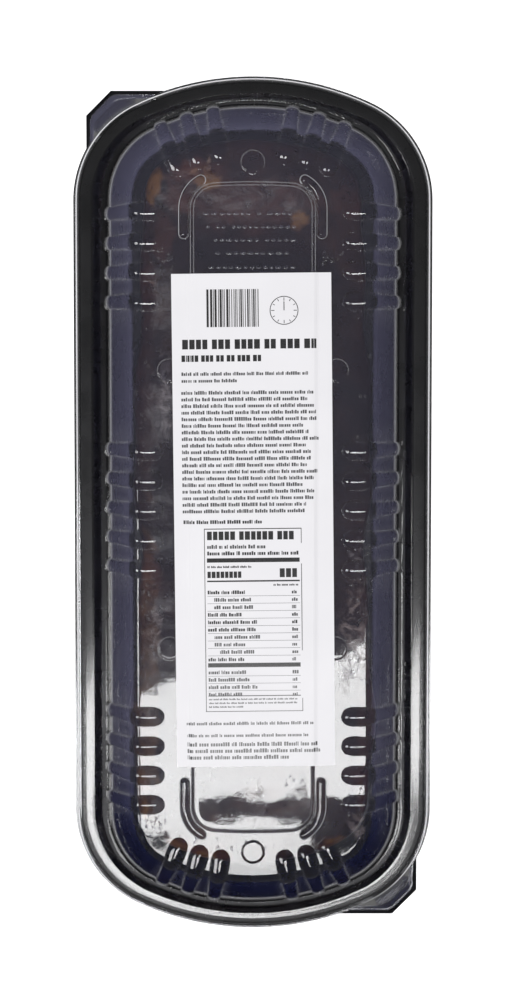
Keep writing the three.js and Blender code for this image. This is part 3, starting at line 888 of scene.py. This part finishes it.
def droplets(material):
    """Beads of condensation, small domes in loose groups on the lid, each with a painted highlight round
    its rim.
    """
    build = Build()
    rng = random.Random(9)
    turns = full_turn(10)
    for cx, cy, rx, ry, count in DROPLET_GROUPS:
        for _ in range(count):
            x = cx + rx * rng.uniform(-1, 1)
            y = cy + ry * rng.uniform(-1, 1)
            size = rng.uniform(*DROPLET_SIZES)
            level = FLAT_Z + PANEL_RISE * on_panel(x) + DROPLET_LIFT
            loops = []
            for share, rise in DROPLET_RINGS:
                ring_x = x + size * share * np.cos(turns)
                ring_y = y + size * share * np.sin(turns) * DROPLET_STRETCH
                xy = np.stack([ring_x, ring_y], 1)
                # Painted highlight on the outer ring only
                glow = DROPLET_HIGHLIGHT * (share == 1)
                loops.append(build.loop(xy, level + rise * size, DROPLET_HAZE, glow))
            build.strips(loops)
            build.faces.append(loops[-1].tolist())
    return build.piece("droplets", material, ("haze", "edge"))


def smears(material):
    """Pale and brown smears, thin sheets that fade out at their rims."""
    build = Build()
    turns = full_turn(28)
    for cx, cy, rx, ry, brown in SMEARS:
        ragged = 1 + 0.22 * np.sin(3 * turns + cx) + 0.15 * np.sin(7 * turns + cy)
        level = FLAT_Z + (PANEL_RISE + SMEAR_PANEL_LIFT if on_panel(cx) else SMEAR_LIFT)
        loops = []
        for share, cover in SMEAR_RINGS:
            x = cx + rx * share * ragged * np.cos(turns)
            y = cy + ry * share * ragged * np.sin(turns)
            loops.append(build.loop(np.stack([x, y], 1), level, cover, brown))
        build.strips(loops)
        build.faces.append(loops[-1].tolist())
    return build.piece("smears", material, ("cover", "brown"))


# Tray


def tray(material):
    """The tray as a thin shell: its inside, its outside and a strip that joins them at the lip."""
    build = Build()
    half_lap = 2 * QUARTER_RUN
    runs = []
    for start, end in ((0, SIDE_RUN), (SIDE_RUN, half_lap - SIDE_RUN), (half_lap - SIDE_RUN, half_lap)):
        runs += [start, *plain_runs(start, end)]
    runs = sorted(set(runs + [r + half_lap for r in runs] + tab_runs()))
    places = stations(runs)
    reach = tab_reach(places, 0)

    def face(section, flip):
        loops = []
        for inward, z in rounded(section, TRAY_STEP)[0]:
            share = np.clip((TRAY_TAB_START - inward) / TRAY_TAB_OVER, 0, 1)
            loops.append(build.loop(points_at(places, inward - reach * share), z))
        build.strips(loops, flip)
        build.fill(loops[-1], (), flip)
        return loops[0]

    top = face(TRAY_INSIDE, False)
    under = face(TRAY_OUTSIDE, True)
    build.strip(under, top)
    return build.piece("black_tray", material)


# Label


def label_point(x, y):
    """Place and height of a point of the label's underside, from its own middle."""
    px = LABEL_CENTRE[0] + x * math.cos(LABEL_TURN) - y * math.sin(LABEL_TURN)
    py = LABEL_CENTRE[1] + x * math.sin(LABEL_TURN) + y * math.cos(LABEL_TURN)
    hang = np.clip((np.abs(px) - LABEL_FOLD_X) / LABEL_FOLD, 0, 1)
    sag = hang * hang * (3 - 2 * hang)
    ripple = LABEL_RIPPLE * np.sin(y * 0.11) * np.cos(x * 0.09 + 1)
    return px, py, LABEL_BASE_Z - LABEL_FALL * sag + ripple


def label(material):
    """The paper sheet, lying on the panel with its sides hanging."""
    build = Build()
    xs = np.linspace(-LABEL_WIDTH / 2, LABEL_WIDTH / 2, LABEL_COLUMNS)
    ys = np.linspace(-LABEL_LENGTH / 2, LABEL_LENGTH / 2, LABEL_ROWS)
    grid_x, grid_y = np.meshgrid(xs, ys)
    px, py, pz = label_point(grid_x.ravel(), grid_y.ravel())
    low = build.loop(np.stack([px, py], 1), pz).reshape(grid_x.shape)
    high = build.loop(np.stack([px, py], 1), pz + LABEL_THICKNESS).reshape(grid_x.shape)
    for sheet, flip in ((high, False), (low, True)):
        corners = [sheet[:-1, :-1], sheet[:-1, 1:], sheet[1:, 1:], sheet[1:, :-1]]
        quads = np.stack(corners, -1).reshape(-1, 4)
        build.faces += (quads[:, ::-1] if flip else quads).tolist()

    def border(sheet):
        return np.concatenate([sheet[0], sheet[1:-1, -1], sheet[-1, ::-1], sheet[-2:0:-1, 0]])

    build.strip(border(low), border(high))
    made = build.piece("paper_label", material)
    made.data.polygons.foreach_set("use_smooth", [False] * len(made.data.polygons))
    return made


# Ribs


def patches(x, y, blobs):
    """How strongly soft-edged blobs of sauce cover each place."""
    cover = np.zeros_like(x)
    ragged = 0.35 * np.sin(x * 0.31 + 1) * np.sin(y * 0.27) + 0.25 * np.sin(x * 0.83 + y * 0.61)
    for cx, cy, rx, ry, strength in blobs:
        distance = ((x - cx) / rx) ** 2 + ((y - cy) / ry) ** 2
        cover = np.maximum(cover, strength * np.clip(1.6 - distance * (1.1 + ragged), 0, 1))
    return cover


def rack_waves():
    """Waves of ever smaller length and height: their way, phase, pitch and size."""
    rng = np.random.default_rng(7)
    waves = []
    for k in range(WAVE_SIZES):
        for _ in range(WAVES_OF_A_SIZE):
            waves.append((rng.normal(0, 1, 2), rng.uniform(0, 6.28), 0.035 * 1.5**k, 0.9 / 1.25**k))
    return waves


def rack_slice(build, turns, waves, along):
    """One ring of the rack at a share of its half length, with its marks of sauce."""
    y = along * RACK_HALF_LENGTH
    fullness = math.sqrt(1 - abs(along) ** RACK_END_POWER)
    uneven = 1 + 0.03 * math.sin(y * 0.043) + 0.02 * math.sin(y * 0.117 + 1)
    half = RACK_HALF_WIDTH * fullness * uneven * (1 - RACK_TAPER * along)
    across = np.sign(np.cos(turns)) * np.abs(np.cos(turns)) ** 0.6
    x = half * across
    bone = np.cos((y + BONE_SLANT * x) / RACK_HALF_LENGTH * math.pi * BONE_COUNT / 2)
    thick = RACK_THICKNESS * (0.62 + 0.38 * fullness) * (1 - 0.1 * across)
    upper = np.maximum(np.sin(turns), 0) ** 0.6
    lower = np.maximum(-np.sin(turns), 0) ** 0.5
    rough = RACK_ROUGHNESS * sum(
        size * np.sin(way[0] * x * pitch * 2 + way[1] * y * pitch * 2 + phase)
        for way, phase, pitch, size in waves
    )
    top = (thick * RACK_UPPER + BONE_SWELL * bone + rough) * upper
    z = RACK_BASE_Z + thick * RACK_LOWER + top - thick * RACK_LOWER * lower
    row = np.full(len(x), y)
    xy = np.stack([x * (1 + rough * RACK_ROUGH_SIDES), row], 1)
    return build.loop(xy, z, patches(x, row, RED_SAUCE), patches(x, row, ORANGE_SAUCE))


def ribs(material):
    """The rack: a slab that swells over each bone, with a rough, glazed surface."""
    build = Build()
    waves = rack_waves()
    turns = full_turn(RACK_COLUMNS)
    loops = []
    for t in np.linspace(-RACK_TURN, RACK_TURN, RACK_SLICES):
        loops.append(rack_slice(build, turns, waves, math.sin(t) / math.sin(RACK_FULL_TURN)))
    build.strips(loops, True)
    for loop, flip in ((loops[0], True), (loops[-1], False)):
        points = np.concatenate(build.points)[loop]
        centre = build.loop([points[:, :2].mean(0)], points[:, 2].mean())[0]
        for a, b in zip(loop, np.roll(loop, -1)):
            build.faces.append([centre, b, a] if flip else [centre, a, b])
    return build.piece("rack_of_ribs", material, ("red", "orange"))


# Materials


def new_material(name):
    """An empty material and its tree."""
    material = bpy.data.materials.new(name)
    material.use_nodes = True
    material.node_tree.nodes.clear()
    return material, material.node_tree


def surfaced(material, shader):
    """The material with a shader as its surface."""
    tree = material.node_tree
    out = tree.nodes.new("ShaderNodeOutputMaterial")
    tree.links.new(shader.outputs[0], out.inputs["Surface"])
    return material


def node(tree, kind, inputs=None, **settings):
    """A shader node with its settings made and each input set or linked."""
    made = tree.nodes.new("ShaderNode" + kind)
    for key, value in settings.items():
        setattr(made, key, value)
    for key, value in (inputs or {}).items():
        if isinstance(value, bpy.types.NodeSocket):
            tree.links.new(value, made.inputs[key])
        else:
            made.inputs[key].default_value = value
    return made


def noise(tree, place, scale, detail=3.0, roughness=0.5, distortion=0.0):
    inputs = {"Vector": place, "Scale": scale, "Detail": detail}
    inputs |= {"Roughness": roughness, "Distortion": distortion}
    return node(tree, "TexNoise", inputs).outputs["Fac"]


def ramp(tree, value, stops):
    made = node(tree, "ValToRGB", {"Fac": value})
    elements = made.color_ramp.elements
    while len(elements) < len(stops):
        elements.new(0.5)
    for element, (at, colour) in zip(elements, stops):
        element.position = at
        element.color = (*colour, 1)
    return made.outputs["Color"]


def spread(tree, value, low, high, to_low=0.0, to_high=1.0):
    """Maps a range of values onto another and holds it at the ends."""
    inputs = {"Value": value, "From Min": low, "From Max": high, "To Min": to_low, "To Max": to_high}
    return node(tree, "MapRange", inputs).outputs["Result"]


def math_node(tree, operation, a, b):
    return node(tree, "Math", {0: a, 1: b}, operation=operation).outputs[0]


def plus(tree, a, b):
    return math_node(tree, "ADD", a, b)


def times(tree, a, b):
    return math_node(tree, "MULTIPLY", a, b)


def mark_of(tree, name):
    """A number that the mesh carries at each point."""
    return node(tree, "Attribute", attribute_name=name).outputs["Fac"]


def mix_colours(tree, factor, first, second):
    return node(tree, "Mix", {"Factor": factor, 6: first, 7: second}, data_type="RGBA").outputs[2]


def principled(tree, colour, roughness, more):
    return node(tree, "BsdfPrincipled", {"Base Color": colour, "Roughness": roughness, **more})


def mix_shaders(tree, factor, first, second):
    return node(tree, "MixShader", {0: factor, 1: first.outputs[0], 2: second.outputs[0]})


def bump(tree, height, strength, distance):
    made = node(tree, "Bump", {"Height": height, "Strength": strength, "Distance": distance})
    return made.outputs["Normal"]


def place_of(tree):
    return node(tree, "TexCoord").outputs["Object"]


def lid_haze(tree, place, mottle, marked, along, near_end):
    """Share of haze: mottled, scaled by its mark, faint at the near end and stronger at the far end."""
    fine = noise(tree, place, 260, 3, 0.6)
    grain = spread(tree, fine, 0.3, 0.7, -0.012, 0.012)
    haze = plus(tree, spread(tree, mottle, 0.3, 0.7, 0.2, 0.24), grain)
    haze = times(tree, haze, math_node(tree, "MAXIMUM", marked, 0.0))
    haze = times(tree, haze, spread(tree, near_end, 0, 1, 1, 0.3))
    return times(tree, haze, spread(tree, along, 0.1, 0.19, 1, 1.25))


def lid_normal(tree, place, marked, along):
    """Low waves that fade on the wall and the rim, wetter at the near end, and fine ripples."""
    waves = noise(tree, place, 34, 2, 0.4)
    wet = times(tree, noise(tree, place, 150, 3, 0.6), spread(tree, along, -0.08, 0.0, 0.06, 0.012))
    ripples = noise(tree, place, 420, 2, 0.5)
    height = plus(tree, waves, wet)
    height = times(tree, height, spread(tree, marked, 0.0, 0.25, 0.25, 1.0))
    height = times(tree, height, spread(tree, marked, 0.3, 0.5, 1.0, 0.06))
    height = plus(tree, height, times(tree, ripples, 0.008))
    return bump(tree, height, 1.0, 0.00017)


def lid_material():
    """Clear plastic, hazy over the food, with painted highlights on its sharp edges and a mirror-like
    skin.
    """
    material, tree = new_material("clear_plastic")
    place = place_of(tree)
    marked = mark_of(tree, "haze")
    along = node(tree, "SeparateXYZ", {"Vector": place}).outputs["Y"]
    near_end = spread(tree, along, -0.16, -0.12, 1, 0)
    mottle = noise(tree, place, 22, 4, 0.6)
    haze = lid_haze(tree, place, mottle, marked, along, near_end)
    normal = lid_normal(tree, place, marked, along)
    tint = mix_colours(tree, near_end, HAZE_TINT, NEAR_HAZE_TINT)
    clear = node(tree, "BsdfTransparent", {"Color": CLEAR_TINT})
    matt = {"Specular IOR Level": 0.0, "Normal": normal}
    cloud = principled(tree, tint, 0.5, matt)
    # Plain white mixed in by the edge mark: a painted highlight
    white = principled(tree, PAINTED_HIGHLIGHT_WHITE, 0.4, matt)
    body = mix_shaders(tree, haze, clear, cloud)
    body = mix_shaders(tree, mark_of(tree, "edge"), body, white)
    fresnel = node(tree, "Fresnel", {"IOR": 1.55}).outputs[0]
    mirror = times(tree, fresnel, spread(tree, marked, -0.3, 0, 0.7, 1.8))
    mirror = times(tree, mirror, spread(tree, marked, 0.3, 0.6, 1.0, 0.25))
    roughness = plus(
        tree,
        spread(tree, mottle, 0.3, 0.7, 0.02, 0.05),
        spread(tree, marked, 0, 0.2, 0.06, 0),
    )
    gloss = node(tree, "BsdfGlossy", {"Color": WHITE, "Roughness": roughness, "Normal": normal})
    skin = mix_shaders(tree, mirror, body, gloss)
    return surfaced(material, skin)


def smear_material():
    """Thin residue: pale, or brown where marked, worn through by noise."""
    material, tree = new_material("residue")
    worn = spread(tree, noise(tree, place_of(tree), 190, 5, 0.7, 0.8), 0.45, 0.68, 0.0, 0.42)
    cover = times(tree, mark_of(tree, "cover"), worn)
    tone = mix_colours(tree, mark_of(tree, "brown"), PALE_RESIDUE, BROWN_RESIDUE)
    film = principled(tree, tone, 0.5, {})
    mixed = mix_shaders(tree, cover, node(tree, "BsdfTransparent"), film)
    return surfaced(material, mixed)


def tray_material():
    """Black plastic, glossy with faint forming marks."""
    material, tree = new_material("black_plastic")
    place = place_of(tree)
    marks = noise(tree, place, 60, 4, 0.6)
    fine = noise(tree, place, 900, 2, 0.5)
    colour = ramp(tree, marks, TRAY_BLACK)
    roughness = spread(tree, marks, 0.3, 0.7, 0.2, 0.36)
    normal = bump(tree, plus(tree, marks, times(tree, fine, 0.02)), 1.0, 0.00006)
    return surfaced(material, principled(tree, colour, roughness, {"Normal": normal}))


def label_material():
    """Smooth white paper with a faint fibre."""
    material, tree = new_material("label_paper")
    place = place_of(tree)
    colour = ramp(tree, noise(tree, place, 30, 3, 0.5), PAPER_WHITE)
    normal = bump(tree, noise(tree, place, 700, 3, 0.6), 0.1, 0.0002)
    return surfaced(material, principled(tree, colour, 0.55, {"Normal": normal}))


def ink_material(name, colour):
    """Printed ink, slightly worn and glossy."""
    material, tree = new_material(name)
    wear = noise(tree, place_of(tree), 1500, 2, 0.5)
    worn = tuple(min(1, c * 1.5 + 0.02) for c in colour)
    tone = ramp(tree, wear, [(0.35, colour), (0.75, worn)])
    coat = {"Coat Weight": 0.6, "Coat Roughness": 0.12}
    return surfaced(material, principled(tree, tone, 0.5, coat))


def ribs_material():
    """Roasted meat under a dark, shiny sauce, with redder and more orange blobs."""
    material, tree = new_material("glazed_meat")
    place = place_of(tree)
    large = noise(tree, place, 26, 4, 0.6, 0.6)
    small = noise(tree, place, 130, 4, 0.65)
    blend = plus(tree, times(tree, large, 0.75), times(tree, small, 0.25))
    colour = ramp(tree, blend, MEAT)
    for mark_name, tone in SAUCES:
        cover = times(tree, mark_of(tree, mark_name), spread(tree, small, 0.35, 0.65, 0.35, 1.3))
        cover = math_node(tree, "MINIMUM", cover, 1.0)
        colour = mix_colours(tree, cover, colour, tone)
    roughness = spread(tree, small, 0.3, 0.7, 0.22, 0.5)
    normal = bump(tree, plus(tree, large, times(tree, small, 0.5)), 0.6, 0.0025)
    coat = {"Coat Weight": 0.15, "Coat Roughness": 0.12, "Normal": normal}
    return surfaced(material, principled(tree, colour, roughness, coat))


# Print on the label


def printed(build, xs, ys):
    """A row of points on the label's printed face."""
    px, py, pz = label_point(xs, ys)
    return build.loop(np.stack([px, py], 1), pz + LABEL_THICKNESS + PRINT_LIFT).tolist()


def bar(build, x0, y0, x1, y1):
    """A thin printed bar that follows the label's surface."""
    parts = max(1, math.ceil((x1 - x0) / PRINT_STEP))
    xs = np.linspace(x0, x1, parts + 1)
    low, high = [printed(build, xs, np.full(len(xs), y)) for y in (y0, y1)]
    for k in range(parts):
        build.faces.append([low[k], low[k + 1], high[k + 1], high[k]])


def greeked(build, rng, x0, x1, y, height, space, letters=LETTERS_IN_WORD):
    """A line of text as words of plain blocks, a low or a tall one for each letter."""
    heading = height > HEADING_HEIGHT
    x = x0
    while x < x1 - height:
        for _ in range(max(1, round(rng.uniform(*letters)))):
            width = height * rng.choice(HEADING_WIDTHS if heading else LETTER_WIDTHS)
            top = y + height * (0.5 if heading else rng.choice(LETTER_TOPS))
            if x + width > x1:
                break
            bar(build, x, y - height / 2, x + width, top)
            x += width + height * LETTER_GAP
        x += space * WORD_GAP


def dial(build, place, radius):
    """A plain clock dial: a thin ring, twelve ticks and one hand."""

    def face(corners):
        corners = np.array(place) + corners
        build.faces.append(printed(build, corners[:, 0], corners[:, 1]))

    inner = radius - DIAL_LINE
    turns = np.linspace(0, 2 * math.pi, 49)
    for a, b in zip(turns, turns[1:]):
        ends = ((inner, a), (radius, a), (radius, b), (inner, b))
        face([(r * math.cos(t), r * math.sin(t)) for r, t in ends])
    outer = radius - TICK_GAP
    for k in range(12):
        inner = outer - (LONG_TICK if k % 3 == 0 else SHORT_TICK)
        way = np.array([math.cos(k * math.pi / 6), math.sin(k * math.pi / 6)])
        side = np.array([-way[1], way[0]]) * TICK_HALF_WIDTH
        face([way * inner - side, way * outer - side, way * outer + side, way * inner + side])
    x, y = place
    bar(build, x - HAND_HALF_WIDTH, y, x + HAND_HALF_WIDTH, y + radius * HAND_LENGTH)


def upright_bars(build, rng):
    """A row of plain upright bars."""
    x, end, edge = BARS_X
    while x < end:
        width = rng.choice(BAR_WIDTHS)
        bar(build, x, BARS_Y[0], min(x + width, edge), BARS_Y[1])
        x += width + rng.choice(BAR_GAPS)


def table_rows(bold, light, rng):
    """The table's rows, each with a name at the left, a share at the right and a rule below."""
    for k, inset in enumerate(ROW_INSETS):
        y = UPPER_ROWS_TOP - k * UPPER_ROWS_PITCH
        if k >= UPPER_ROWS:
            y = LOWER_ROWS_TOP - (k - UPPER_ROWS) * LOWER_ROWS_PITCH
        pen = bold if k in BOLD_ROWS else light
        greeked(pen, rng, TABLE_LEFT + inset, rng.uniform(-6, 3) + inset, y, 1.7, 0.9, (3, 8))
        greeked(pen, rng, 17.6, 21, y, 1.6, 0.5, (3, 3))
        if k not in ROWS_WITHOUT_RULE:
            x0, low, x1, high = ROW_RULE
            bar(light, x0, y + low, x1, y + high)


def label_print(black, grey):
    """The print as generic bars, blocks and rules; nothing on it can be read."""
    rng = random.Random(11)
    bold = Build()
    light = Build()
    upright_bars(bold, rng)
    dial(bold, DIAL_PLACE, DIAL_RADIUS)
    for line in HEADINGS:
        greeked(bold, rng, *line)
    for line in SUBHEADINGS:
        greeked(light, rng, *line)
    for k in range(PARAGRAPH_LINES):
        y = PARAGRAPH_TOP - k * PARAGRAPH_PITCH
        greeked(light, rng, -33.3, rng.uniform(*PARAGRAPH_ENDS), y, 1.7, 0.9, (3, 9))
    greeked(bold, rng, *LAST_LINE)
    for corners in TABLE_RULES:
        bar(bold, *corners)
    for is_bold, line in TABLE_TOP_LINES:
        greeked(bold if is_bold else light, rng, *line)
    table_rows(bold, light, rng)
    for line in SMALL_LINES + FOOT_LINES:
        greeked(light, rng, *line)
    return bold.piece("bold_print", black), light.piece("small_print", grey)


# Stage


def area_light(name, place, width, depth, turn_degrees, share):
    """A level softbox that shines straight down."""
    data = bpy.data.lights.new(name, "AREA")
    data.shape = "RECTANGLE"
    data.size, data.size_y = width, depth
    data.energy = SOFTBOX_RADIANCE * share * width * depth * math.pi
    made = placed(name, data)
    made.location = (*place, SOFTBOX_Z)
    made.rotation_euler = (0, 0, math.radians(turn_degrees))


def surround():
    """An even pale room that lights the pack and shows darker in what mirrors it."""
    world = bpy.data.worlds.new("surround")
    world.use_nodes = True
    tree = world.node_tree
    mirrored_ray = node(tree, "LightPath").outputs["Is Glossy Ray"]
    glow = spread(tree, mirrored_ray, 0, 1, ROOM_GLOW, ROOM_REFLECTION)
    background = tree.nodes["Background"]
    background.inputs["Color"].default_value = WHITE
    tree.links.new(glow, background.inputs["Strength"])
    return world


def camera():
    """The photo's camera, a little past the pack's middle and tilted back to it."""
    data = bpy.data.cameras.new("camera")
    data.lens = CAMERA_LENS
    data.sensor_width = CAMERA_FILM
    data.clip_start = CAMERA_CLIP
    made = placed("camera", data)
    made.location = [v * MM for v in CAMERA_PLACE]
    made.rotation_euler = (math.radians(CAMERA_TILT_DEGREES), 0, 0)
    return made


def floor():
    """A plain pale floor just under the tray, which the lid doesn't mirror."""
    mesh = bpy.data.meshes.new("floor")
    half = FLOOR_HALF
    corners = [(-half, -half, 0), (half, -half, 0), (half, half, 0), (-half, half, 0)]
    mesh.from_pydata(corners, [], [(0, 1, 2, 3)])
    made = placed("floor", mesh)
    made.location.z = -FLOOR_DROP
    made.visible_glossy = False
    material, tree = new_material("floor_white")
    glow = {"Emission Color": WHITE, "Emission Strength": FLOOR_GLOW}
    white = principled(tree, FLOOR_WHITE, 0.8, glow)
    mesh.materials.append(surfaced(material, white))
    return made


def stage():
    scene = bpy.context.scene
    scene.camera = camera()
    scene.view_settings.view_transform = "Standard"
    scene.world = surround()
    floor()
    for softbox in SOFTBOXES:
        area_light(*softbox)


def main():
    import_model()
    stage()
    plastic = lid_material()
    lid_piece = lid(plastic)
    on_lid = (embossed_marks(plastic), droplets(plastic), smears(smear_material()))
    tray_piece = tray(tray_material())
    label_piece = label(label_material())
    ribs_piece = ribs(ribs_material())
    bold, light = label_print(ink_material("ink", INK), ink_material("grey_ink", GREY_INK))
    shells = [(lid_piece, "lid"), (tray_piece, "tray"), (label_piece, "label"), (ribs_piece, "ribs")]
    for piece, name in shells:
        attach(piece, "root")
        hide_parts(name)
    for piece in (bold, light):
        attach(piece, "root")
    for piece in on_lid:
        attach(piece, "root")


main()
